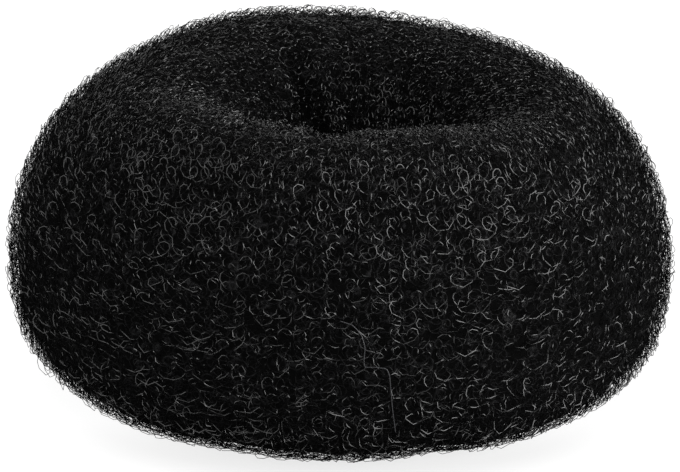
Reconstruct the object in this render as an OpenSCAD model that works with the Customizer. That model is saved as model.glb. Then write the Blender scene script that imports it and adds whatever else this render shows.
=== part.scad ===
// Hair donut: a springy ring of knitted black nylon mesh, through which a ponytail is drawn
// to shape a bun. It is one piece: a long tubular sleeve, rolled up on itself like a sock.
// The last turn of the roll is a loose, airy layer of loops that ends at an edge tucked down
// inside the hole. The turns under it are packed tight. The ring lies on its base, with the
// hole upright along Z. Lengths are in millimetres, and angles in degrees.

/* [Ring] */
// Outer diameter of the ring, seen from above
ring_d = 86; // [60:1:120]
// Height of the ring at its highest point
ring_h = 40; // [28:1:52]
// Diameter of the ponytail hole at its narrowest
hole_d = 18; // [12:0.5:26]
// How far the hole lies to the right of the ring's middle
hole_x = 2.4; // [0:0.2:4]
// Height of the outside's widest point, as a share of the ring's height there
belly = 0.42; // [0.36:0.01:0.52]
// Height by which the base settles flat under the ring's own weight
settle = 0.4; // [0.3:0.1:1]

/* [Mesh] */
// Thickness of the last turn, the loose layer of loops
turn_t = 2.4; // [1.6:0.1:3.4]
// Gap between the last turn and the turns that it wraps
wrap_gap = 0.4; // [0.2:0.05:0.8]
// Width of the slit where the last turn's edge tucks in
tuck_gap = 0.5; // [0.2:0.1:1]
// Angle of that slit round the roll: 0 is straight out, 90 on top and 180 in the hole
tuck_angle = 216; // [200:1:235]
// How much of the roll's round, in degrees, the last turn takes to grow out of the turns below
join_angle = 30; // [20:1:45]

/* [Folds] */
// Depth of the deepest fold in the mesh
fold_depth = 2.2; // [0:0.1:3]

/* [Roundness] */
// Sections round the ring
ring_sections = 60; // [36:12:72]
// Points round each turn of the roll
roll_points = 24; // [16:2:28]

/* [Hidden] */
NYLON = [0.035, 0.035, 0.038];

// The ring's shape at equal steps of azimuth, from +X and anticlockwise seen from above.
// out is a share of the ring's radius, and high is a share of its height.
OUT = 0;
HIGH = 1;
SECTIONS = [
    [0.99, 0.90],
    [0.98, 0.92],
    [1.00, 0.94],
    [1.00, 0.97],
    [1.00, 0.99],
    [0.98, 0.97],
    [0.99, 0.96],
    [1.00, 0.99],
    [1.01, 1.00],
    [1.00, 1.00],
    [1.02, 0.99],
    [1.01, 0.93],
];

// Dents and creases, each a smooth hollow centred on an azimuth and an angle round the roll.
// Its half widths say how far it reaches each way, and deep is a share of fold_depth.
AZIMUTH = 0;
AZIMUTH_HALF = 1;
ROLL = 2;
ROLL_HALF = 3;
DEEP = 4;
FOLDS = [
    [119, 11, 148, 62, 1.00],
    [38, 24, 176, 50, 0.60],
    [262, 11, 112, 60, 0.35],
    [200, 20, 140, 45, 0.30],
    [288, 12, 300, 45, 0.25],
    [246, 14, 318, 50, 0.25],
    [75, 22, 30, 50, 0.20],
];

// Angle round the roll at which it stands on its base
BASE_ROLL = 270;
// Step for finding directions on the skin, in degrees
PROBE = 1;

// How square each quarter of a section is: 2 is an ellipse, and more is boxier.
SQUARE_TOP = 2.05;
SQUARE_FOOT = 2.75;
SQUARE_HOLE = 2.2;

// A value between the rows of SECTIONS, on a smooth closed curve through them.
function between(column, azimuth) =
    let (
        rows = len(SECTIONS),
        place = ((azimuth % 360) + 360) % 360 * rows / 360,
        row = floor(place),
        f = place - row,
        a = SECTIONS[(row - 1 + rows) % rows][column],
        b = SECTIONS[row % rows][column],
        c = SECTIONS[(row + 1) % rows][column],
        d = SECTIONS[(row + 2) % rows][column]
    )
    b + f / 2 * (c - a + f * (2 * a - 5 * b + 4 * c - d + f * (3 * (b - c) + d - a)));

// A sine or cosine drawn towards a square wave, for a boxier section.
function squared(wave, square) = sign(wave) * pow(abs(wave), 2 / square);

// A point of the ring's skin before any fold is pressed into it.
function smooth_point(azimuth, roll) =
    let (
        ray = [cos(azimuth), sin(azimuth)],
        outside = ray * ring_d / 2 * between(OUT, azimuth),
        hole_wall = [hole_x, 0] + ray * hole_d / 2,
        foot = sin(roll) < 0,
        square = cos(roll) < 0 ? SQUARE_HOLE : foot ? SQUARE_FOOT : SQUARE_TOP,
        across = (1 + squared(cos(roll), square)) / 2,
        lift = squared(sin(roll), square),
        waist = belly * across + (1 - across) / 2,
        high = waist + lift * (foot ? waist : 1 - waist),
        full_h = ring_h * between(HIGH, azimuth),
        flat = hole_wall * (1 - across) + outside * across
    )
    [flat.x, flat.y, max(0, high * (full_h + settle) - settle)];

function unit(v) = v / norm(v);

// The direction into the roll, square to that skin.
function inward(azimuth, roll) =
    let (
        round_ring = smooth_point(azimuth + PROBE, roll) - smooth_point(azimuth - PROBE, roll),
        round_roll = smooth_point(azimuth, roll + PROBE) - smooth_point(azimuth, roll - PROBE)
    )
    unit(cross(round_roll, round_ring));

// The signed angle from b to a, from -180 to 180.
function turn_to(a, b) = ((a - b + 180) % 360 + 360) % 360 - 180;

// 1 in the middle of a fold and 0 from its half width outwards.
function swell(offset, half) = abs(offset) >= half ? 0 : pow(cos(90 * offset / half), 2);

// How deep all the folds together press the surface in.
function fold_in(azimuth, roll) =
    let (
        pressed = [
            for (fold = FOLDS)
                fold[DEEP] * swell(turn_to(azimuth, fold[AZIMUTH]), fold[AZIMUTH_HALF])
                    * swell(turn_to(roll, fold[ROLL]), fold[ROLL_HALF])
        ]
    )
    fold_depth * pressed * [for (fold = FOLDS) 1];

// A point that far under the folded skin. The flat base keeps its level.
function roll_point(azimuth, roll, under) =
    let (
        skin = smooth_point(azimuth, roll),
        pressed = skin.z > 0 ? fold_in(azimuth, roll) : 0,
        point = skin + inward(azimuth, roll) * (under + pressed)
    )
    [point.x, point.y, max(point.z, 0)];

// Half of the slit's width, in degrees round the roll.
function tuck_half(azimuth) =
    let (
        reach = smooth_point(azimuth, tuck_angle + PROBE) - smooth_point(azimuth, tuck_angle - PROBE)
    )
    PROBE * tuck_gap / norm(reach);

// The steps round the roll that lie clear of a start and an end. They straddle the base
// evenly, so that it is flat between two of them.
function steps(start, end) =
    let (step = 360 / roll_points)
    [
        for (k = [-roll_points:roll_points])
            let (roll = BASE_ROLL + step * (k + 1 / 2))
            if (roll > start + step / 4 && roll < end - step / 4) roll
    ];

function backwards(list) = [for (k = [len(list) - 1:-1:0]) list[k]];

// One section through the roll. It runs from the tucked edge once round the skin, in through
// the slit, once round the packed turns, and back along the inside of the last turn.
function roll_section(azimuth) =
    let (
        half = tuck_half(azimuth),
        edge = tuck_angle + half,
        slit_end = tuck_angle + 360 - half,
        gap_end = slit_end - join_angle,
        gap_steps = steps(edge, gap_end),
        skin = concat([edge], steps(edge, slit_end), [slit_end]),
        packed = concat([slit_end - 360], gap_steps, [gap_end]),
        inside = backwards(concat([edge], gap_steps, [gap_end]))
    )
    concat(
        [for (roll = skin) roll_point(azimuth, roll, 0)],
        [for (roll = packed) roll_point(azimuth, roll, turn_t + wrap_gap)],
        [for (roll = inside) roll_point(azimuth, roll, turn_t)]
    );

sections = [for (s = [0:ring_sections - 1]) roll_section(360 * s / ring_sections)];

// The middle of the ring's outline from above, which comes to lie on the Z axis.
xs = [for (section = sections, point = section) point.x];
ys = [for (section = sections, point = section) point.y];
centre = [(min(xs) + max(xs)) / 2, (min(ys) + max(ys)) / 2, 0];

// The rolled sleeve, as one closed skin of triangles through all its sections.
module rolled_sleeve() {
    columns = len(sections[0]);
    function at(row, column) = (row % ring_sections) * columns + column % columns;
    color(NYLON)
        polyhedron(
            points = [for (section = sections, point = section) point - centre],
            faces = [
                for (r = [0:ring_sections - 1], c = [0:columns - 1], second = [false, true])
                    second
                        ? [at(r, c), at(r + 1, c + 1), at(r + 1, c)]
                        : [at(r, c), at(r, c + 1), at(r + 1, c + 1)]
            ],
            convexity = 8
        );
}

rolled_sleeve();
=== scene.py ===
# %% [markdown]
# # A hair donut of knitted nylon mesh
#
# The object is a soft black ring, worn in the hair under a bun. A long sleeve of open nylon
# knitting is rolled up on itself like a sock, until only a fat ring with a small hole is left.
# What the eye sees is not a surface at all. It is thousands of loops of thin, springy strand,
# loose and airy outside, drawn together in the hole, with packed black turns behind them.
#
# A smooth ring with a bumpy material would give that away at its outline, where light comes
# through the loops. So the loops are real geometry here. One stitch is modelled, arrays lay it
# out as flat knitting, the knitting is loosened, and then it is rolled onto the ring.

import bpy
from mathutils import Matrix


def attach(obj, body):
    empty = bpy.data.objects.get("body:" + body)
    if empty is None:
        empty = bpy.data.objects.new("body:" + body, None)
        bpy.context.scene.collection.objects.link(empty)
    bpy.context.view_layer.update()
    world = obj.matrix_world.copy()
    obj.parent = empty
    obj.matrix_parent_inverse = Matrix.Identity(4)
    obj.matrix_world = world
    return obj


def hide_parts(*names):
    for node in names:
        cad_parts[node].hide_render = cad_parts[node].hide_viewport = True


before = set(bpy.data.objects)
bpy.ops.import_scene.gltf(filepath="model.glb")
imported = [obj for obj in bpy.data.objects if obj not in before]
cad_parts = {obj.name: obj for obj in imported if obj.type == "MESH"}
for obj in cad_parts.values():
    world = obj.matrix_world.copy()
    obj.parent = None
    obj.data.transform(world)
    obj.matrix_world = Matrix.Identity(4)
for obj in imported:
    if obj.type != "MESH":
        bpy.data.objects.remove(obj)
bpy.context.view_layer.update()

# %% Modules, units and names
import math

import bpy
import numpy as np
from mathutils import Vector

MM = 0.001
NODE = "rolled_sleeve"

# %% [markdown]
# ## The ring's own shape
#
# The solid model gives the ring's form: sections that change a little from place to place, and
# a few creases where the mesh is pinched. The loops must lie on exactly that form, so the same
# sizes and the same short tables are used here, and the same rule between their rows.

# %% Sizes of the ring
RING_D = 86 * MM
RING_H = 40 * MM
HOLE_D = 18 * MM
HOLE_X = 2.4 * MM
BELLY = 0.42
SETTLE = 0.4 * MM
TURN_T = 2.4 * MM
TUCK_ANGLE = 216
FOLD_DEPTH = 2.2 * MM
SQUARE_TOP = 2.05
SQUARE_FOOT = 2.75
SQUARE_HOLE = 2.2
print("ring in mm:", RING_D / MM, "across and", RING_H / MM, "high")

# %% Tables of the ring

# Shares of the radius and of the height, every 30 degrees from +X.
OUT = [0.99, 0.98, 1.00, 1.00, 1.00, 0.98, 0.99, 1.00, 1.01, 1.00, 1.02, 1.01]
HIGH = [0.90, 0.92, 0.94, 0.97, 0.99, 0.97, 0.96, 0.99, 1.00, 1.00, 0.99, 0.93]

# Azimuth and its half width, angle round the roll and its half width, share of FOLD_DEPTH.
FOLDS = [
    (119, 11, 148, 62, 1.00),
    (38, 24, 176, 50, 0.60),
    (262, 11, 112, 60, 0.35),
    (200, 20, 140, 45, 0.30),
    (288, 12, 300, 45, 0.25),
    (246, 14, 318, 50, 0.25),
    (75, 22, 30, 50, 0.20),
]
print(len(OUT), "sections and", len(FOLDS), "folds")

# %% The skin before its folds


def between(column, azimuth):
    """A value between a table's rows, on a smooth closed curve through them."""
    column = np.array(column)
    rows = len(column)
    place = (azimuth % 360) * rows / 360
    row = np.floor(place).astype(int)
    f = place - row
    a, b, c, d = (column[(row + step) % rows] for step in (-1, 0, 1, 2))
    return b + f / 2 * (c - a + f * (2 * a - 5 * b + 4 * c - d + f * (3 * (b - c) + d - a)))


def squared(wave, square):
    """A sine or cosine drawn towards a square wave, for a boxier section."""
    return np.sign(wave) * np.abs(wave) ** (2 / square)


def smooth_skin(azimuth, roll):
    """Points of the skin. Roll is 0 straight out, 90 on top and 180 in the hole."""
    turn, angle = np.radians(azimuth), np.radians(roll)
    outer = RING_D / 2 * between(OUT, azimuth)
    foot = np.sin(angle) < 0
    square = np.where(np.cos(angle) < 0, SQUARE_HOLE, np.where(foot, SQUARE_FOOT, SQUARE_TOP))
    across = (1 + squared(np.cos(angle), square)) / 2
    lift = squared(np.sin(angle), square)
    waist = BELLY * across + (1 - across) / 2
    high = waist + lift * np.where(foot, waist, 1 - waist)
    full_h = RING_H * between(HIGH, azimuth)
    radius = HOLE_D / 2 * (1 - across) + outer * across
    x = np.cos(turn) * radius + HOLE_X * (1 - across)
    y = np.sin(turn) * radius
    z = np.maximum(0, high * (full_h + SETTLE) - SETTLE)
    return np.stack([x, y, z], -1)


print("height of the ring at its right in mm:", round(smooth_skin(0, 90)[2] / MM, 1))

# %% The folds


def swell(offset, half):
    """1 in the middle of a fold and 0 from its half width outwards."""
    return np.where(np.abs(offset) < half, np.cos(np.pi / 2 * offset / half) ** 2, 0)


def fold_in(azimuth, roll):
    """How deep all the folds together press the skin in."""
    depth = 0
    for at, half, at_roll, roll_half, deep in FOLDS:
        side = (azimuth - at + 180) % 360 - 180
        along = (roll - at_roll + 180) % 360 - 180
        depth = depth + deep * swell(side, half) * swell(along, roll_half)
    return FOLD_DEPTH * depth


deepest_at, _, deepest_roll, _, _ = FOLDS[0]
print("deepest fold in mm:", round(fold_in(deepest_at, deepest_roll) / MM, 1))

# %% [markdown]
# ## A map of the skin
#
# Knitting has even rows, but equal angles round the roll are not equal lengths. So the skin is
# sampled finely, its length round the roll is measured, and it is sampled again at equal
# lengths. The result is a map. A share of a turn round the ring and a share of the way round
# the roll give a point, and the direction straight out of the skin there. The way round the
# roll starts and ends inside the hole, where the sleeve's edge is tucked in.

# %% Equal lengths round the roll
AZIMUTHS = 360
STEPS = 720
FINE = 400
QUARTER = 90

# The boxy section turns fastest at its quarters, so the FINE angles of each crowd together there.
quarter = QUARTER / 2 * (1 - np.cos(np.pi * np.arange(FINE) / FINE))
quarters = np.concatenate([QUARTER * number + quarter for number in range(4)])
fine_roll = np.unique(np.concatenate([(quarters - TUCK_ANGLE) % 360, [0, 360]])) + TUCK_ANGLE

azimuths = np.arange(AZIMUTHS) * 360 / AZIMUTHS
rolls = np.empty((AZIMUTHS, STEPS + 1))
lengths = np.empty(AZIMUTHS)
for row, azimuth in enumerate(azimuths):
    line = smooth_skin(np.full(len(fine_roll), azimuth), fine_roll)
    run = np.concatenate([[0], np.cumsum(np.linalg.norm(np.diff(line, axis=0), axis=1))])
    lengths[row] = run[-1]
    rolls[row] = np.interp(np.linspace(0, run[-1], STEPS + 1), run, fine_roll)
print("length round the roll in mm:", (lengths.mean() / MM).round(1), "on average")

# %% Points and directions on the map
PROBE = 0.5


def unit(vectors):
    return vectors / np.linalg.norm(vectors, axis=-1, keepdims=True)


grid = np.repeat(azimuths[:, None], STEPS + 1, 1)
round_ring = smooth_skin(grid + PROBE, rolls) - smooth_skin(grid - PROBE, rolls)
round_roll = smooth_skin(grid, rolls + PROBE) - smooth_skin(grid, rolls - PROBE)
inward = unit(np.cross(round_roll, round_ring))
skin = smooth_skin(grid, rolls)
skin += inward * np.where(skin[..., 2] > 0, fold_in(grid, rolls), 0)[..., None]
skin[..., 2] = np.maximum(skin[..., 2], 0)

# The middle of the outline lies on the Z axis, as in the solid model.
skin[..., :2] -= (skin[..., :2].min((0, 1)) + skin[..., :2].max((0, 1))) / 2

# Directions out of the folded skin, from its neighbours on the map.
along_ring = np.roll(skin, -1, 0) - np.roll(skin, 1, 0)
along_roll = np.gradient(skin, axis=1)
outward = -unit(np.cross(along_roll, along_ring))
print("skin box in mm:", (skin.min((0, 1)) / MM).round(1), (skin.max((0, 1)) / MM).round(1))

# %% Look a place up on the map


def on_map(table, turn, way):
    """Reads a map between its samples. turn is a share of the ring, way a share of the roll."""
    ring_place = (turn % 1) * AZIMUTHS
    roll_place = np.clip(way, 0, 1) * STEPS
    row = np.floor(ring_place).astype(int)
    column = np.minimum(np.floor(roll_place).astype(int), STEPS - 1)
    past_row = (ring_place - row)[..., None]
    past_column = (roll_place - column)[..., None]
    row, next_row = row % AZIMUTHS, (row + 1) % AZIMUTHS
    here = table[row, column] * (1 - past_row) + table[next_row, column] * past_row
    after = table[row, column + 1] * (1 - past_row) + table[next_row, column + 1] * past_row
    return here * (1 - past_column) + after * past_column


def radius_at(turn, way):
    return np.linalg.norm(on_map(skin, turn, way)[..., :2], axis=-1)


def on_ring(turn, way, proud):
    """The place on the ring that stands proud of the skin by so much."""
    return on_map(skin, turn, way) + unit(on_map(outward, turn, way)) * proud[..., None]


FRONT = 270 / 360
HALFWAY = 1 / 2
print("halfway round the roll at the front, in mm:", (on_map(skin, FRONT, HALFWAY) / MM).round(1))

# %% [markdown]
# ## One stitch
#
# The real strand is so springy that each stitch curls into a ring and crosses itself before it
# runs on through a low, open arc to the next stitch. A row of such stitches looks like
# handwriting with nothing but e's. By hand it starts as a single vertex. An extrude draws each
# leg, and a spin draws the ring and the low arc, because a vertex that spins leaves a trail of
# edges. Only this centre line is modelled. Its thickness comes last, when it lies in its place,
# since a tube that was bent first would be squashed flat in the narrow hole.
#
# Operators act on whatever is selected, just as they do by hand. So everything is deselected
# before a new piece is added. A new plane that is merged at its centre leaves the one vertex.

# %% Sizes of one stitch
STITCH_W = 2.10 * MM
CURL_R = 0.82 * MM
LOW_R = 1.22 * MM
LEG_SLOPE = math.radians(42)
LOW_STEPS = 1
CURL_ANGLE = 2 * math.pi - 2 * LEG_SLOPE
LOW_ANGLE = 2 * LEG_SLOPE
LEG_ACROSS = STITCH_W / 2 + (CURL_R - LOW_R) * math.sin(LEG_SLOPE)
LEG_UP = LEG_ACROSS * math.tan(LEG_SLOPE)
STITCH_H = LEG_UP + (CURL_R - LOW_R) * math.cos(LEG_SLOPE)
print("height of a stitch between its arcs' centres in mm:", round(STITCH_H / MM, 2))

# %% Start a line from one vertex
START_SIZE = 1 * MM


def deselect():
    """Leaves nothing selected, so that the next operator touches only what it adds."""
    if bpy.context.object and bpy.context.object.mode != "OBJECT":
        bpy.ops.object.mode_set(mode="OBJECT")
    bpy.ops.object.select_all(action="DESELECT")


def start_line(name, place):
    """Adds one vertex at that place, and stays in edit mode with it selected."""
    deselect()
    bpy.ops.mesh.primitive_plane_add(size=START_SIZE, location=place)
    line = bpy.context.object
    line.name = name
    bpy.ops.object.transform_apply(location=True, rotation=False, scale=False)
    bpy.ops.object.mode_set(mode="EDIT")
    bpy.ops.mesh.select_all(action="SELECT")
    bpy.ops.mesh.merge(type="CENTER")
    return line


# %% Model the centre line of one stitch


def stitch_line(name, curl_steps):
    """Adds one stitch, from the start of a leg to the start of the next stitch's leg."""
    start = (LOW_R * math.sin(LEG_SLOPE), -STITCH_H / 2 - LOW_R * math.cos(LEG_SLOPE), 0)
    line = start_line(name, start)
    bpy.ops.mesh.extrude_region_move(TRANSFORM_OT_translate={"value": (LEG_ACROSS, LEG_UP, 0)})
    curl = (STITCH_W / 2, STITCH_H / 2, 0)
    bpy.ops.mesh.spin(steps=curl_steps, angle=CURL_ANGLE, center=curl, axis=(0, 0, -1))
    bpy.ops.mesh.extrude_region_move(TRANSFORM_OT_translate={"value": (LEG_ACROSS, -LEG_UP, 0)})
    low = (STITCH_W, -STITCH_H / 2, 0)
    bpy.ops.mesh.spin(steps=LOW_STEPS, angle=LOW_ANGLE, center=low, axis=(0, 0, -1))
    bpy.ops.object.mode_set(mode="OBJECT")
    return line


# %% Find the order of its points


def path_order(mesh):
    """The vertices in their order along the line, from its left end."""
    beside = {v.index: [] for v in mesh.vertices}
    for edge in mesh.edges:
        a, b = edge.vertices
        beside[a].append(b)
        beside[b].append(a)
    ends = [index for index, near in beside.items() if len(near) == 1]
    order = [min(ends, key=lambda index: mesh.vertices[index].co.x)]
    while len(order) < len(beside):
        order.append(next(index for index in beside[order[-1]] if index not in order[-2:]))
    return order


# %% [markdown]
# ## Flat knitting
#
# Two Array modifiers repeat the stitch, first along a course, then course by course. The
# courses lie closer together than a stitch is high, so the arcs of one hang through those of
# the next, as in any knitting. An array keeps every copy's vertices together, so the points of
# the flat piece fall into a table: course, stitch, point along the stitch.
#
# A modifier is applied to the piece that is active, so the line is made active first. The
# places of its thousands of points are then read in one go, as a table of numbers.

# %% Apply modifiers and read a mesh's points


def make_active(piece):
    deselect()
    piece.select_set(True)
    bpy.context.view_layer.objects.active = piece


def apply_modifiers(piece):
    make_active(piece)
    for modifier in list(piece.modifiers):
        bpy.ops.object.modifier_apply(modifier=modifier.name)


def points_of(mesh):
    """A mesh's vertex places as a table with a row for each vertex."""
    flat = np.empty(len(mesh.vertices) * 3)
    mesh.vertices.foreach_get("co", flat)
    return flat.reshape(-1, 3)


# %% Lay out the flat knitting


def flat_knitting(name, curl_steps, stitches, courses, pitch):
    """Arrays one stitch. Returns the flat knitting, a stitch's order and the table of points."""
    line = stitch_line(name, curl_steps)
    order = path_order(line.data)
    for count, step in ((stitches, (STITCH_W, 0, 0)), (courses, (0, pitch, 0))):
        array = line.modifiers.new("array", "ARRAY")
        array.use_relative_offset = False
        array.use_constant_offset = True
        array.constant_offset_displace = step
        array.count = count
    apply_modifiers(line)
    table = points_of(line.data).reshape(courses, stitches, len(order), 3)
    print(name, "is knitted in", courses, "courses of", stitches, "stitches")
    return line, order, table


# %% [markdown]
# ## Loosened loops
#
# Mesh of springy strand never lies even. Each ring and each low arc is moved, turned and sized
# by itself, and tips out of the surface, and a leg between two of them follows both. A ring
# also climbs as it goes round, so that it passes over itself where it crosses. Rings stand a
# little prouder than low arcs, as they do on the real mesh, where they catch the light.
#
# Where the skin slants, the loops don't lie flat on it. At the foot they hang from it, and on
# the shoulder they stand up from it, so that they are still seen as rings from the side. Over
# the crest they lean less and less, because the hole draws the mesh together.
#
# The loops keep their width when the mesh is drawn together in the hole. There they crowd and
# overlap in columns and are not squeezed flat. So a point is kept in two parts: the place of
# its arc along the course, and its own distance from the middle of that arc.

# %% Find how far the loops lean

# A lean is a slope out of the skin. Over the crest it fades, from where the skin climbs as
# steeply as FADE_SLOPE to where it falls as steeply.
FOOT_LEAN = 0.90
TOP_LEAN = 0.60
FADE_SLOPE = 0.40


def ease(share):
    """Turns a share from 0 to 1 into one that starts and ends gently."""
    share = np.clip(share, 0, 1)
    return share * share * (3 - 2 * share)


def leans_at(middles):
    """How steeply the loops of each course lean out of the skin. middles are their ways."""
    faces_up = outward[..., 2].mean(axis=0)
    climbs = unit(along_roll)[..., 2].mean(axis=0)
    at_foot = FOOT_LEAN * 2 * faces_up * climbs
    on_top = TOP_LEAN * faces_up * ease((climbs + FADE_SLOPE) / (2 * FADE_SLOPE))
    lean = np.where(faces_up < 0, at_foot, on_top)
    return np.interp(middles, np.linspace(0, 1, STEPS + 1), lean)


EIGHTHS = np.linspace(0, 1, 9)
print("leans at each eighth of the way round the roll:", leans_at(EIGHTHS).round(2))

# %% Draw how each arc strays

# The largest moves of quite loose mesh. The angle is in radians, the tilt is a slope, and the
# size is a power of e.
SHIFT_ACROSS = 0.26 * MM
SHIFT_UP = 0.30 * MM
SPREAD_ANGLE = 0.80
SPREAD_SIZE = 0.28
SPREAD_PROUD = 0.32 * MM
SPREAD_TILT = 0.65

# Rings stand this much above the middle of the layer, and low arcs as much below it.
RING_PROUD = 0.15 * MM

# Loops that lean sink in a little, and their own tips are calmer.
LEAN_SINK = 0.38 * MM
LEAN_CALM = 0.50


def draw_moves(rng, looseness, leans, stitches):
    """Draws how each arc of each course is moved, turned, sized and tipped."""
    arcs = 2 * stitches

    def draw(spread):
        return looseness[:, None] * rng.uniform(-spread, spread, (len(looseness), arcs))

    leans = leans[:, None]
    rings_proud = np.where(np.arange(arcs) % 2 == 0, RING_PROUD, -RING_PROUD)
    sunk = LEAN_SINK * np.abs(leans)
    calm = 1 - LEAN_CALM * np.abs(leans)
    return {
        "across": draw(SHIFT_ACROSS),
        "up": draw(SHIFT_UP),
        "angle": draw(SPREAD_ANGLE),
        "size": np.exp(draw(SPREAD_SIZE)),
        "proud": draw(SPREAD_PROUD) + rings_proud - sunk,
        "tilt": draw(SPREAD_TILT),
        "tip": draw(SPREAD_TILT) * calm + leans,
    }


# %% Carry the points round an arc

# How far a ring climbs for each step in the numbers of the arcs.
CURL_CLIMB = 0.50 * MM


def around_arc(flat, arc, place, moves, pitch):
    """The points as that arc carries them: the arc's place, then distances across, up and out."""
    course_y = np.arange(len(flat))[:, None, None] * pitch
    centre_x = STITCH_W / 2 * (arc + 1)
    is_ring = arc % 2 == 0
    centre_y = np.where(is_ring, STITCH_H / 2, -STITCH_H / 2)
    x, y = flat[..., 0] - centre_x, flat[..., 1] - course_y - centre_y
    own = {name: values[:, arc % values.shape[1]] for name, values in moves.items()}
    across = own["size"] * (x * np.cos(own["angle"]) - y * np.sin(own["angle"]))
    up = own["size"] * (x * np.sin(own["angle"]) + y * np.cos(own["angle"]))
    out = own["proud"] + own["tilt"] * across + own["tip"] * up
    out = out + np.where(is_ring, CURL_CLIMB * (place - arc), 0)
    spot = np.broadcast_to(centre_x, x.shape)
    return np.stack([spot, own["across"] + across, centre_y + own["up"] + up, out])


# %% Loosen the knitting
KINK = 0.03 * MM

# Rings have even numbers and low arcs odd ones. A ring's points lie within CURL_SPAN of its
# number and a low arc's within LOW_SPAN. A leg's points lie between the two. Within ARC_KEEPS
# of a number a point goes with that arc alone.
CURL_SPAN = 0.36
LOW_SPAN = 0.20
ARC_KEEPS = 0.30

# How loose the mesh is along the way round the roll: less in the hole, where it is stretched.
LOOSE_WAYS = [0.0, 0.45, 0.65, 0.85, 1.0]
LOOSE_SHARES = [0.90, 0.85, 0.75, 0.50, 0.45]


def loosen(table, order, curl_steps, pitch, middles, seed):
    """Moves every arc by itself, and blends the legs between them."""
    rng = np.random.default_rng(seed)
    courses, stitches, count, _ = table.shape
    flat = table[:, :, order, :]
    part_ends = np.cumsum([0, 1, curl_steps, 1, LOW_STEPS])
    marks = [LOW_SPAN - 1, -CURL_SPAN, CURL_SPAN, 1 - LOW_SPAN, 1 + LOW_SPAN]
    place = np.arange(stitches)[:, None] * 2 + np.interp(np.arange(count), part_ends, marks)
    before = np.floor(place).astype(int)
    share = ease((place - before - ARC_KEEPS) / (1 - 2 * ARC_KEEPS))
    looseness = np.interp(middles, LOOSE_WAYS, LOOSE_SHARES)
    moves = draw_moves(rng, looseness, leans_at(middles), stitches)
    moved = around_arc(flat, before, place, moves, pitch) * (1 - share)
    moved += around_arc(flat, before + 1, place, moves, pitch) * share
    kinks = rng.normal(0, KINK, (3, courses, stitches, count))
    kinks[..., -1] = np.roll(kinks[..., 0], -1, axis=2)
    moved[1:] += kinks
    return moved


# %% [markdown]
# ## From a line to a strand
#
# A Geometry Nodes modifier turns the centre line into a curve and sweeps a small circle along
# it. Three things make it look like nylon. The curve is a NURBS curve, which rounds the corners
# of a line with few points. The circle has only three sides, and its long edges stay sharp, so
# each side shines or stays dark as a whole, in a thin crisp arc. And each point gets its own
# random twist, so the shine breaks off and starts again along the strand, as it does on real
# strand that is never quite round. More sides and smooth shading would only give a soft blur,
# for the strand is thinner than one pixel of the picture.

# %% Build the strand's nodes
STRAND_SIDES = 3
STRAND_R = 0.041 * MM
SHARP_ANGLE = math.radians(60)

# The largest twist at a point of the strand, in radians.
STRAND_TWIST = 0.95

# One point of the rounded curve for each point of the line keeps the triangles few.
CURVE_STEPS = 1

# A Random Value node has sockets for each type of value. These are the numbers of the floats.
FLOAT_MIN, FLOAT_MAX, FLOAT_VALUE = 2, 3, 1


def strand_nodes(name, sides, radius, twist):
    """A Geometry Nodes group that sweeps a small circle along every line of a mesh."""
    group = bpy.data.node_groups.new(name, "GeometryNodeTree")
    group.interface.new_socket("Geometry", in_out="INPUT", socket_type="NodeSocketGeometry")
    group.interface.new_socket("Geometry", in_out="OUTPUT", socket_type="NodeSocketGeometry")
    nodes, links = group.nodes, group.links
    start, end = nodes.new("NodeGroupInput"), nodes.new("NodeGroupOutput")
    to_curve = nodes.new("GeometryNodeMeshToCurve")
    turned = nodes.new("FunctionNodeRandomValue")
    turned.inputs[FLOAT_MIN].default_value = -twist
    turned.inputs[FLOAT_MAX].default_value = twist
    tilt = nodes.new("GeometryNodeSetCurveTilt")
    rounded = nodes.new("GeometryNodeCurveSplineType")
    rounded.spline_type = "NURBS"
    steps = nodes.new("GeometryNodeSetSplineResolution")
    steps.inputs["Resolution"].default_value = CURVE_STEPS
    circle = nodes.new("GeometryNodeCurvePrimitiveCircle")
    circle.inputs["Resolution"].default_value = sides
    circle.inputs["Radius"].default_value = radius
    sweep = nodes.new("GeometryNodeCurveToMesh")
    links.new(start.outputs["Geometry"], to_curve.inputs["Mesh"])
    links.new(to_curve.outputs["Curve"], tilt.inputs["Curve"])
    links.new(turned.outputs[FLOAT_VALUE], tilt.inputs["Tilt"])
    links.new(tilt.outputs["Curve"], rounded.inputs["Curve"])
    links.new(rounded.outputs["Curve"], steps.inputs["Geometry"])
    links.new(steps.outputs["Geometry"], sweep.inputs["Curve"])
    links.new(circle.outputs["Curve"], sweep.inputs["Profile Curve"])
    links.new(sweep.outputs["Mesh"], end.inputs["Geometry"])
    return group


def thicken(piece, sides=STRAND_SIDES, radius=STRAND_R, twist=STRAND_TWIST):
    """Turns a piece's line into a strand. Long edges sharper than SHARP_ANGLE stay sharp."""
    modifier = piece.modifiers.new("strand", "NODES")
    modifier.node_group = strand_nodes(f"{piece.name}_strand", sides, radius, twist)
    apply_modifiers(piece)
    bpy.ops.object.shade_smooth_by_angle(angle=SHARP_ANGLE)


# %% [markdown]
# ## Onto the ring
#
# Every point of the flat knitting has a place along its course and a place among the courses.
# The map of the skin turns those two into a point on the ring, at the layer's own depth under
# the skin. Towards the hole the ring gets narrow. There the loops are drawn in a little and lie
# nearer the skin, and they are less loose, because the mesh is stretched round the inside of
# the roll. At the foot the ring's weight presses the layers together, and both edges of the
# sleeve dip out of sight where they are tucked in. Last, stitches that end where the next one
# starts are merged with it there, and the line is thickened to a strand.

# %% How the knitting changes over the ring

# Powers of the room: the first for a loop's width, the second for its height and depth.
NARROWING = 0.80
SHORTENING = 0.50

# The length of a tucked edge, as a share of the way round the roll.
TUCK_WAY = 0.012

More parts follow.
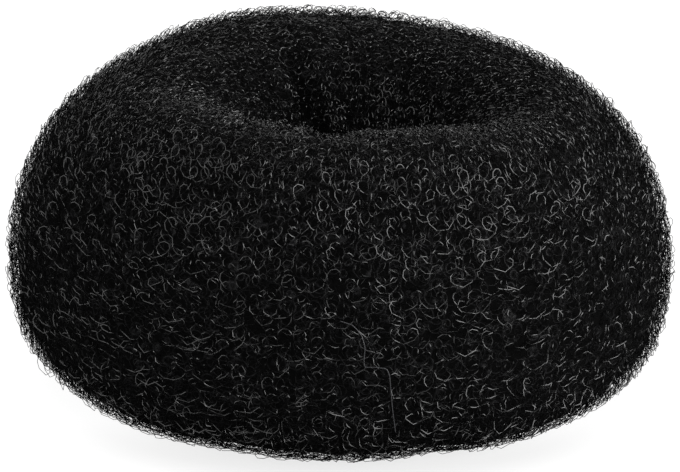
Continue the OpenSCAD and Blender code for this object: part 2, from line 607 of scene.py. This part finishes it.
# The share of a layer's depth that is left at the floor, and the height where it is all there.
PRESSED_SHARE = 0.65
PRESSED_HEIGHT = 3 * MM


def room_at(turn, way):
    """The share of the full room that loops have. It is 1 outside, and least in the hole."""
    return np.clip(radius_at(turn, way) / (RING_D / 2), 0, 1)


def springiness(turn, way):
    """The share of a layer's full depth that is left where the foot is pressed flat."""
    share = ease(on_map(skin, turn, way)[..., 2] / PRESSED_HEIGHT)
    return PRESSED_SHARE + (1 - PRESSED_SHARE) * share


print("share of the ring's radius halfway round the roll:", room_at(FRONT, HALFWAY).round(2))

# %% Lay loops on the ring


def onto_ring(loops, stitches, courses, middles, pitch, depth):
    """The ring's points for loosened loops. middles are the ways of the courses' middles."""
    spot, across, up, out = loops
    turn = spot / (STITCH_W * stitches)
    way = middles[:, None, None] + up / pitch / courses
    room = room_at(turn, way)
    turn = turn + across * room**NARROWING / (2 * np.pi * radius_at(turn, way))
    way = middles[:, None, None] + up * room**SHORTENING / pitch / courses
    tucked = 1 - np.clip(np.minimum(way, 1 - way) / TUCK_WAY, 0, 1)
    proud = (out - depth) * room**SHORTENING * springiness(turn, way) - tucked * TURN_T / 2
    rolled = on_ring(turn, way, proud)
    rolled[..., 2] = np.maximum(rolled[..., 2], STRAND_R)
    return rolled


# %% Knit a band and roll it up
WELD = 0.001 * MM


def set_points(mesh, points):
    mesh.vertices.foreach_set("co", points.ravel())
    mesh.update()


def triangles_of(piece):
    piece.data.calc_loop_triangles()
    return len(piece.data.loop_triangles)


def roll_up(name, curl_steps, stitches, courses, first, last, depth, seed):
    """Knits courses first to last of a layer and rolls them onto the ring at that depth."""
    pitch = lengths.mean() / courses
    piece, order, table = flat_knitting(name, curl_steps, stitches, last - first, pitch)
    middles = (np.arange(first, last) + 0.5) / courses
    loops = loosen(table, order, curl_steps, pitch, middles, seed)
    laid = np.empty_like(table)
    laid[:, :, order, :] = onto_ring(loops, stitches, courses, middles, pitch, depth)
    set_points(piece.data, laid)
    make_active(piece)
    bpy.ops.object.mode_set(mode="EDIT")
    bpy.ops.mesh.select_all(action="SELECT")
    bpy.ops.mesh.remove_doubles(threshold=WELD)
    bpy.ops.object.mode_set(mode="OBJECT")
    thicken(piece)
    print(name, "has", triangles_of(piece), "triangles")
    return piece


# %% [markdown]
# ## Black nylon
#
# Nylon strand is black all through and smooth, so nearly all that is seen of it is gloss.
# Handling leaves some lengths duller and a little greyer than others. A node group turns soft
# noise into a colour and a roughness, and both the loose strand and the packed turns use it,
# each with its own values. The noise reads Object coordinates, which are the real sizes here.

# %% A node group for the uneven gloss of nylon
NOISE_DETAIL = 3

# Noise between these two values is stretched to run from 0 to 1.
NOISE_LOW = 0.35
NOISE_HIGH = 0.65

# A Mix node has sockets for each type of value. These are the numbers of floats and colours.
FLOAT_A, FLOAT_B, FLOAT_RESULT = 2, 3, 0
COLOR_A, COLOR_B, COLOR_RESULT = 6, 7, 2


def add_sockets(group, in_out, kinds):
    for name, kind in kinds.items():
        group.interface.new_socket(name, in_out=in_out, socket_type=f"NodeSocket{kind}")


def nylon_shade_group():
    group = bpy.data.node_groups.new("nylon_shade", "ShaderNodeTree")
    add_sockets(group, "INPUT", {"Grain": "Float", "Deep Color": "Color", "Pale Color": "Color"})
    add_sockets(group, "INPUT", {"Glossy": "Float", "Dull": "Float"})
    add_sockets(group, "OUTPUT", {"Color": "Color", "Roughness": "Float"})
    nodes, links = group.nodes, group.links
    start, end = nodes.new("NodeGroupInput"), nodes.new("NodeGroupOutput")
    place = nodes.new("ShaderNodeTexCoord")
    noise = nodes.new("ShaderNodeTexNoise")
    noise.inputs["Detail"].default_value = NOISE_DETAIL
    links.new(place.outputs["Object"], noise.inputs["Vector"])
    links.new(start.outputs["Grain"], noise.inputs["Scale"])
    sharpen = nodes.new("ShaderNodeMapRange")
    sharpen.inputs["From Min"].default_value = NOISE_LOW
    sharpen.inputs["From Max"].default_value = NOISE_HIGH
    links.new(noise.outputs["Fac"], sharpen.inputs["Value"])
    shade = nodes.new("ShaderNodeMix")
    shade.data_type = "RGBA"
    links.new(sharpen.outputs["Result"], shade.inputs["Factor"])
    links.new(start.outputs["Deep Color"], shade.inputs[COLOR_A])
    links.new(start.outputs["Pale Color"], shade.inputs[COLOR_B])
    links.new(shade.outputs[COLOR_RESULT], end.inputs["Color"])
    gloss = nodes.new("ShaderNodeMapRange")
    links.new(sharpen.outputs["Result"], gloss.inputs["Value"])
    links.new(start.outputs["Glossy"], gloss.inputs["To Min"])
    links.new(start.outputs["Dull"], gloss.inputs["To Max"])
    links.new(gloss.outputs["Result"], end.inputs["Roughness"])
    return group


nylon_shade = nylon_shade_group()
print("node group:", nylon_shade.name)

# %% Use the group in a material
BLUE_TINT = 1.06
STRAND_SPECULAR = 0.50


def new_material(name):
    material = bpy.data.materials.new(name)
    material.use_nodes = True
    return material, material.node_tree, material.node_tree.nodes["Principled BSDF"]


def add_shade(tree, grain, deep, pale, glossy, dull):
    """Places the group with its values. grain is the size of a patch of equal gloss."""
    shade = tree.nodes.new("ShaderNodeGroup")
    shade.node_tree = nylon_shade
    shade.inputs["Grain"].default_value = 1 / grain
    shade.inputs["Deep Color"].default_value = (deep, deep, deep * BLUE_TINT, 1)
    shade.inputs["Pale Color"].default_value = (pale, pale, pale * BLUE_TINT, 1)
    shade.inputs["Glossy"].default_value = glossy
    shade.inputs["Dull"].default_value = dull
    return shade


strand_finish, tree, shader = new_material("black_nylon_strand")
shade = add_shade(tree, grain=1.6 * MM, deep=0.001, pale=0.003, glossy=0.18, dull=0.32)
tree.links.new(shade.outputs["Color"], shader.inputs["Base Color"])
tree.links.new(shade.outputs["Roughness"], shader.inputs["Roughness"])
shader.inputs["Specular IOR Level"].default_value = STRAND_SPECULAR
print("finish:", strand_finish.name)

# %% [markdown]
# ## The outer turn
#
# The last turn of the roll is what the hand touches: one sheet of loose loops, from its edge
# inside the hole, under the foot, up the outside and over the top back into the hole. It could
# be knitted as one piece, but a mesh of so many triangles is heavy to work with. So it is
# knitted in bands of courses, each a piece of its own, which meet like the courses of one sheet.
# Each has a seed for its random draws, so the same loops come out every time.

# %% Knit the outer turn
OUTER_STITCHES = 140
OUTER_COURSES = 112
OUTER_CURL_STEPS = 6
OUTER_DEPTH = 0.75 * MM
OUTER_SEED = 11
BAND_COURSES = 16
BANDS = [
    "base_loops",
    "foot_loops",
    "lower_side_loops",
    "upper_side_loops",
    "crown_loops",
    "hole_rim_loops",
    "hole_wall_loops",
]
pieces = []
for band, name in enumerate(BANDS):
    piece = roll_up(
        name,
        curl_steps=OUTER_CURL_STEPS,
        stitches=OUTER_STITCHES,
        courses=OUTER_COURSES,
        first=band * BAND_COURSES,
        last=(band + 1) * BAND_COURSES,
        depth=OUTER_DEPTH,
        seed=OUTER_SEED + band,
    )
    pieces.append(piece)

# %% [markdown]
# ## The turn below
#
# Through the gaps of the outer turn the next one shows, just as loose. It matters most at the
# outline, where two sheets of loops let through only pinholes of light, and the real ring has
# just such an edge. It is made like the outer turn, a little coarser, and only where the outer
# turn can be looked through at the outline: from the foot up the outside, nearly to the crest.

# %% Knit the turn below
UNDER_STITCHES = 96
UNDER_COURSES = 66
UNDER_CURL_STEPS = 4
UNDER_DEPTH = 1.30 * MM
UNDER_FIRST = 12
UNDER_LAST = 41
UNDER_SEED = 31
piece = roll_up(
    "between_loops",
    curl_steps=UNDER_CURL_STEPS,
    stitches=UNDER_STITCHES,
    courses=UNDER_COURSES,
    first=UNDER_FIRST,
    last=UNDER_LAST,
    depth=UNDER_DEPTH,
    seed=UNDER_SEED,
)
pieces.append(piece)

# %% [markdown]
# ## A pulled strand
#
# One strand at the front has been snagged and pulled out of its loops. It wanders over the
# knitting in a long thin line. It is drawn as a short list of places on the map, each reached by
# an extrude from the one before. A subdivide adds points between them, and then the line is laid
# over the loops. It was pulled tight, so it is a round strand with no twist. Its grey colour is a
# painted sheen that stands in for its shine, for a black strand would be lost, black on black.

# %% Draw the pulled strand on the map
PULLED_CUTS = 3

# Azimuth in degrees, where 270 is the front, and the share of the way round the roll.
PULLED = [
    (270.0, 0.425),
    (272.0, 0.421),
    (273.4, 0.411),
    (274.0, 0.398),
    (273.8, 0.384),
    (273.9, 0.377),
    (275.5, 0.377),
    (277.4, 0.375),
    (277.9, 0.367),
    (278.1, 0.350),
    (278.4, 0.330),
    (279.0, 0.302),
]
start_azimuth, start_way = PULLED[0]
pulled = start_line("pulled_strand", (start_azimuth / 360, start_way, 0))
for (azimuth, way), (next_azimuth, next_way) in zip(PULLED, PULLED[1:]):
    step = ((next_azimuth - azimuth) / 360, next_way - way, 0)
    bpy.ops.mesh.extrude_region_move(TRANSFORM_OT_translate={"value": step})
bpy.ops.mesh.select_all(action="SELECT")
bpy.ops.mesh.subdivide(number_cuts=PULLED_CUTS)
bpy.ops.object.mode_set(mode="OBJECT")
drawn = points_of(pulled.data)
print("points of the pulled strand:", len(drawn))

# %% Lay it over the loops
PULLED_PROUD = 0.35 * MM
PULLED_SIDES = 8
PULLED_R = 0.048 * MM

set_points(pulled.data, on_ring(drawn[:, 0], drawn[:, 1], np.full(len(drawn), PULLED_PROUD)))
thicken(pulled, sides=PULLED_SIDES, radius=PULLED_R, twist=0)
print("pulled strand:", triangles_of(pulled), "triangles")

# %% Give the loops and the pulled strand their finishes
# The pulled strand's grey colour is a painted sheen, in place of the shine a black strand shows.
PAINTED_SHEEN_GREY = (0.050, 0.050, 0.053, 1)
PULLED_ROUGHNESS = 0.40

for piece in pieces:
    piece.data.materials.append(strand_finish)
painted_sheen, _, shader = new_material("painted_sheen_nylon_strand")
shader.inputs["Base Color"].default_value = PAINTED_SHEEN_GREY
shader.inputs["Roughness"].default_value = PULLED_ROUGHNESS
pulled.data.materials.append(painted_sheen)
pieces.append(pulled)
print("finish:", painted_sheen.name)

# %% [markdown]
# ## The packed turns
#
# Under the two loose turns lies the rest of the roll, so many turns of mesh that no light comes
# through. It could be knitted as well, but so deep down hardly any of it would be seen. A torus
# does for it, with its points laid on the map under the skin. Its surface is lumpy, as packed
# mesh is, so that it never shows as a hard line behind the loops.

# %% Add a torus
CORE_SEGMENTS = 220
CORE_RINGS = 80
CORE_MAJOR_R = RING_D / 3
CORE_MINOR_R = RING_D / 6

deselect()
bpy.ops.mesh.primitive_torus_add(
    major_segments=CORE_SEGMENTS,
    minor_segments=CORE_RINGS,
    major_radius=CORE_MAJOR_R,
    minor_radius=CORE_MINOR_R,
)
core = bpy.context.object
core.name = "packed_turns"
print("packed turns:", triangles_of(core), "triangles")

# %% Lay it under the loops
CORE_DEPTH = 1.70 * MM
CORE_LUMP = 0.35 * MM
CORE_SEED = 51

points = points_of(core.data)
turn = np.arctan2(points[:, 1], points[:, 0]) / (2 * np.pi)
spoke = np.hypot(points[:, 0], points[:, 1]) - CORE_MAJOR_R
way = ((np.degrees(np.arctan2(points[:, 2], spoke)) - TUCK_ANGLE) % 360) / 360
lumps = np.random.default_rng(CORE_SEED).uniform(-CORE_LUMP, CORE_LUMP, len(points))
depth = (CORE_DEPTH + lumps) * room_at(turn, way) ** SHORTENING * springiness(turn, way)
set_points(core.data, on_ring(turn, way, -depth))
make_active(core)
bpy.ops.object.shade_smooth()
pieces.append(core)
print("their depth in mm:", (depth.min() / MM).round(1), "to", (depth.max() / MM).round(1))

# %% [markdown]
# ## The packed turns' finish
#
# In the gaps between the loops one sees more strands, ever darker, and black between them. The
# finish paints those, with their shade. A Voronoi texture gives each place its distance from the
# nearest of many scattered points. Where that distance is a certain value lies a circle round the
# point, and that is a curled strand. Three such textures of other sizes lie on top of each other.
# The strands are paler and glossy and stand out in a bump, and their paler colour is painted
# sheen.
# All between them is dull and black, a painted shade of the depths, and a low specular level dims
# the whole finish as the shade deep in the roll would.

# %% A node group that draws curled strands


def curl_lines_group():
    group = bpy.data.node_groups.new("curl_lines", "ShaderNodeTree")
    add_sockets(group, "INPUT", {"Vector": "Vector", "Scale": "Float"})
    add_sockets(group, "INPUT", {"Radius": "Float", "Half Width": "Float"})
    add_sockets(group, "OUTPUT", {"Line": "Float"})
    nodes, links = group.nodes, group.links
    start, end = nodes.new("NodeGroupInput"), nodes.new("NodeGroupOutput")
    cells = nodes.new("ShaderNodeTexVoronoi")
    links.new(start.outputs["Vector"], cells.inputs["Vector"])
    links.new(start.outputs["Scale"], cells.inputs["Scale"])
    from_ring = nodes.new("ShaderNodeMath")
    from_ring.operation = "SUBTRACT"
    links.new(cells.outputs["Distance"], from_ring.inputs[0])
    links.new(start.outputs["Radius"], from_ring.inputs[1])
    off_line = nodes.new("ShaderNodeMath")
    off_line.operation = "ABSOLUTE"
    links.new(from_ring.outputs["Value"], off_line.inputs[0])
    line = nodes.new("ShaderNodeMapRange")
    line.interpolation_type = "SMOOTHSTEP"
    line.inputs["To Min"].default_value = 1
    line.inputs["To Max"].default_value = 0
    links.new(off_line.outputs["Value"], line.inputs["Value"])
    links.new(start.outputs["Half Width"], line.inputs["From Max"])
    links.new(line.outputs["Result"], end.inputs["Line"])
    return group


curl_lines = curl_lines_group()
print("node group:", curl_lines.name)

# %% Lay three sizes of curl over each other

# Size of a cell, radius and half width of the curl as shares of it, and its own shift.
CURLS = [
    (2.3 * MM, 0.42, 0.065, (0, 0, 0)),
    (2.0 * MM, 0.36, 0.055, (7 * MM, 3 * MM, 5 * MM)),
    (2.7 * MM, 0.46, 0.055, (2 * MM, 9 * MM, 4 * MM)),
]
packed_finish, tree, shader = new_material("packed_black_nylon")
place = tree.nodes.new("ShaderNodeTexCoord")
layers = []
for cell, radius, half_width, shift in CURLS:
    moved = tree.nodes.new("ShaderNodeMapping")
    moved.inputs["Location"].default_value = shift
    tree.links.new(place.outputs["Object"], moved.inputs["Vector"])
    one = tree.nodes.new("ShaderNodeGroup")
    one.node_tree = curl_lines
    one.inputs["Scale"].default_value = 1 / cell
    one.inputs["Radius"].default_value = radius
    one.inputs["Half Width"].default_value = half_width
    tree.links.new(moved.outputs["Vector"], one.inputs["Vector"])
    layers.append(one.outputs["Line"])
curls, *more_layers = layers
for layer in more_layers:
    both = tree.nodes.new("ShaderNodeMath")
    both.operation = "MAXIMUM"
    tree.links.new(curls, both.inputs[0])
    tree.links.new(layer, both.inputs[1])
    curls = both.outputs["Value"]
print("sizes of curl:", len(layers))

# %% Colour, gloss and bump of the packed turns
# The black between the curls is painted shade of the depths, and the curls' paler colour is
# painted sheen. The low specular level dims the whole finish like the shade deep in the roll.
DEPTH_SHADE_BLACK = (0.0008, 0.0008, 0.0008, 1)
GAP_ROUGHNESS = 1.0
BUMP_HEIGHT = 0.15 * MM
PACKED_SPECULAR = 0.10

shade = add_shade(tree, grain=3.0 * MM, deep=0.005, pale=0.013, glossy=0.25, dull=0.45)
curl_sheen_and_gap_shade = tree.nodes.new("ShaderNodeMix")
curl_sheen_and_gap_shade.data_type = "RGBA"
curl_sheen_and_gap_shade.inputs[COLOR_A].default_value = DEPTH_SHADE_BLACK
tree.links.new(curls, curl_sheen_and_gap_shade.inputs["Factor"])
tree.links.new(shade.outputs["Color"], curl_sheen_and_gap_shade.inputs[COLOR_B])
tree.links.new(curl_sheen_and_gap_shade.outputs[COLOR_RESULT], shader.inputs["Base Color"])
line_gloss = tree.nodes.new("ShaderNodeMapRange")
line_gloss.inputs["To Min"].default_value = GAP_ROUGHNESS
tree.links.new(curls, line_gloss.inputs["Value"])
tree.links.new(shade.outputs["Roughness"], line_gloss.inputs["To Max"])
tree.links.new(line_gloss.outputs["Result"], shader.inputs["Roughness"])
bump = tree.nodes.new("ShaderNodeBump")
bump.inputs["Distance"].default_value = BUMP_HEIGHT
tree.links.new(curls, bump.inputs["Height"])
tree.links.new(bump.outputs["Normal"], shader.inputs["Normal"])
shader.inputs["Specular IOR Level"].default_value = PACKED_SPECULAR
core.data.materials.append(packed_finish)
print("finish:", packed_finish.name)

# %% [markdown]
# ## One part
#
# The real ring is one soft thing. Its pieces could be joined into one mesh here too, but that
# would be heavy to work with. So they stay apart, each is told that it stands on the same body,
# and the solid whose place they take is hidden.

# %% Attach the pieces to the body and hide the solid they replace
for piece in pieces:
    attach(piece, "root")
    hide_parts(NODE)
print("all pieces:", sum(triangles_of(piece) for piece in pieces), "triangles")

# %% [markdown]
# ## Floor
#
# The ring lies on a floor so bright that only a soft grey at its foot tells where it is. So much
# light from below would make black nylon grey, though. So the floor glows for the camera alone,
# and the gloss of the strands sees a dark floor. An Ambient Occlusion node takes the glow back
# where the ring is close, and so paints a shade at its foot. A mask on the floor's Y paints that
# shade most in front, where the grey is seen best.

# %% Lay the floor
FLOOR_SIZE = 3.0
FLOOR_ROUGHNESS = 0.8
FLOOR_SPECULAR = 0.0
FLOOR_GREY = (0.20, 0.20, 0.20, 1)
FLOOR_IN_GLOSS = (0.05, 0.05, 0.05, 1)
WHITE = (1, 1, 1, 1)

deselect()
bpy.ops.mesh.primitive_plane_add(size=FLOOR_SIZE, location=(0, 0, 0))
table_top = bpy.context.object
table_top.name = "white_table"
white, tree, shader = new_material("white_table")
shader.inputs["Roughness"].default_value = FLOOR_ROUGHNESS
shader.inputs["Specular IOR Level"].default_value = FLOOR_SPECULAR
shader.inputs["Emission Color"].default_value = WHITE
seen = tree.nodes.new("ShaderNodeLightPath")
tint = tree.nodes.new("ShaderNodeMix")
tint.data_type = "RGBA"
tint.inputs[COLOR_A].default_value = FLOOR_GREY
tint.inputs[COLOR_B].default_value = FLOOR_IN_GLOSS
tree.links.new(seen.outputs["Is Glossy Ray"], tint.inputs["Factor"])
tree.links.new(tint.outputs[COLOR_RESULT], shader.inputs["Base Color"])
table_top.data.materials.append(white)
print("floor:", table_top.name)

# %% Let it glow, but not under the ring
SHADE_REACH = 9 * MM

# In front of the ring the glow is SHADE_GLOW where SHADE_FROM or less of the sky is open, and
# it rises to 1 where all of it is.
SHADE_FROM = 0.30
SHADE_GLOW = 0.76

# The shade is full in front of FRONT_Y, and behind SIDE_Y only SIDE_SHADE of it is left.
SIDE_Y = -18 * MM
FRONT_Y = -34 * MM
SIDE_SHADE = 0.35

open_sky = tree.nodes.new("ShaderNodeAmbientOcclusion")
open_sky.inputs["Distance"].default_value = SHADE_REACH
contact = tree.nodes.new("ShaderNodeMapRange")
contact.inputs["From Min"].default_value = SHADE_FROM
contact.inputs["To Min"].default_value = SHADE_GLOW
tree.links.new(open_sky.outputs["AO"], contact.inputs["Value"])
place = tree.nodes.new("ShaderNodeTexCoord")
axes = tree.nodes.new("ShaderNodeSeparateXYZ")
tree.links.new(place.outputs["Object"], axes.inputs["Vector"])
in_front = tree.nodes.new("ShaderNodeMapRange")
in_front.interpolation_type = "SMOOTHSTEP"
in_front.inputs["From Min"].default_value = SIDE_Y
in_front.inputs["From Max"].default_value = FRONT_Y
in_front.inputs["To Min"].default_value = SIDE_SHADE
tree.links.new(axes.outputs["Y"], in_front.inputs["Value"])
shaded = tree.nodes.new("ShaderNodeMix")
shaded.inputs[FLOAT_A].default_value = 1
tree.links.new(in_front.outputs["Result"], shaded.inputs["Factor"])
tree.links.new(contact.outputs["Result"], shaded.inputs[FLOAT_B])
glow = tree.nodes.new("ShaderNodeMath")
glow.operation = "MULTIPLY"
tree.links.new(seen.outputs["Is Camera Ray"], glow.inputs[0])
tree.links.new(shaded.outputs[FLOAT_RESULT], glow.inputs[1])
tree.links.new(glow.outputs["Value"], shader.inputs["Emission Strength"])
print("its shade reaches", SHADE_REACH / MM, "mm from the ring")

# %% [markdown]
# ## Lights
#
# Gloss shows the lights themselves, and black nylon shows little else. Two large soft boxes
# stand low at the sides and light the front without reaching into the hole. The strand's narrow
# sides catch them as many short bright dashes. A small box in front and above, one behind and
# above for the rim, and a low one at the back draw the rest out of the dark.

# %% Set up the soft boxes
RING_MIDDLE = Vector((0, 0, RING_H / 2))


def soft_box(name, place, size, power):
    """An area light that looks at the middle of the ring. Its place and size are in metres."""
    light = bpy.data.lights.new(name, "AREA")
    light.shape = "RECTANGLE"
    light.size, light.size_y = size
    light.energy = power
    lamp = bpy.data.objects.new(name, light)
    bpy.context.scene.collection.objects.link(lamp)
    lamp.location = place
    lamp.rotation_euler = (RING_MIDDLE - lamp.location).to_track_quat("-Z", "Y").to_euler()
    print(name, "gives", power, "W")


soft_box("back_box", place=(0.05, 0.68, 0.56), size=(0.70, 0.30), power=1.1)
soft_box("right_box", place=(0.76, -0.34, 0.22), size=(1.00, 0.50), power=12.8)
soft_box("left_box", place=(-0.95, -0.60, 0.45), size=(1.50, 1.20), power=14.5)
soft_box("front_box", place=(0.04, -0.74, 0.50), size=(0.45, 0.45), power=1.2)
soft_box("rear_box", place=(0.00, 0.95, 0.14), size=(1.40, 0.24), power=1.3)

# %% [markdown]
# ## White all round
#
# The picture's background is pure white. A world that bright would wash the black out, so it is
# white for the camera and nearly dark for everything else, as the floor is. The Standard view
# keeps white as white, where Blender's usual one would make it grey.

# %% Make the world white for the camera
WORLD_LIGHT = 0.01

world = bpy.data.worlds.new("studio")
bpy.context.scene.world = world
world.use_nodes = True
tree = world.node_tree
backdrop = tree.nodes["Background"]
backdrop.inputs["Color"].default_value = WHITE
ray = tree.nodes.new("ShaderNodeLightPath")
strength = tree.nodes.new("ShaderNodeMapRange")
strength.inputs["To Min"].default_value = WORLD_LIGHT
tree.links.new(ray.outputs["Is Camera Ray"], strength.inputs["Value"])
tree.links.new(strength.outputs["Result"], backdrop.inputs["Strength"])
bpy.context.scene.view_settings.view_transform = "Standard"
print("light from the world:", WORLD_LIGHT)

# %% [markdown]
# ## Camera
#
# The photograph was taken from in front and a little above. The far side of the ring looks only
# a little smaller in it than the near side, so the camera stands well back with a long lens.
# The lens follows from the ring's size in the picture.

# %% Place the camera
ELEVATION = math.radians(20.9)
DISTANCE = 650 * MM
AIM = Vector((0, 0, 17.14 * MM))
SENSOR_MM = 36

# How large the ring is in the photograph, and how wide the photograph is.
PX_PER_MM = 7.837
WIDTH_PX = 680

camera_data = bpy.data.cameras.new("photo_view")
camera_data.sensor_width = SENSOR_MM
camera_data.lens = SENSOR_MM * PX_PER_MM / MM * DISTANCE / WIDTH_PX
camera = bpy.data.objects.new("photo_view", camera_data)
bpy.context.scene.collection.objects.link(camera)
camera.location = AIM + DISTANCE * Vector((0, -math.cos(ELEVATION), math.sin(ELEVATION)))
camera.rotation_euler = (AIM - camera.location).to_track_quat("-Z", "Y").to_euler()
bpy.context.scene.camera = camera
print("lens in mm:", round(camera_data.lens, 1))
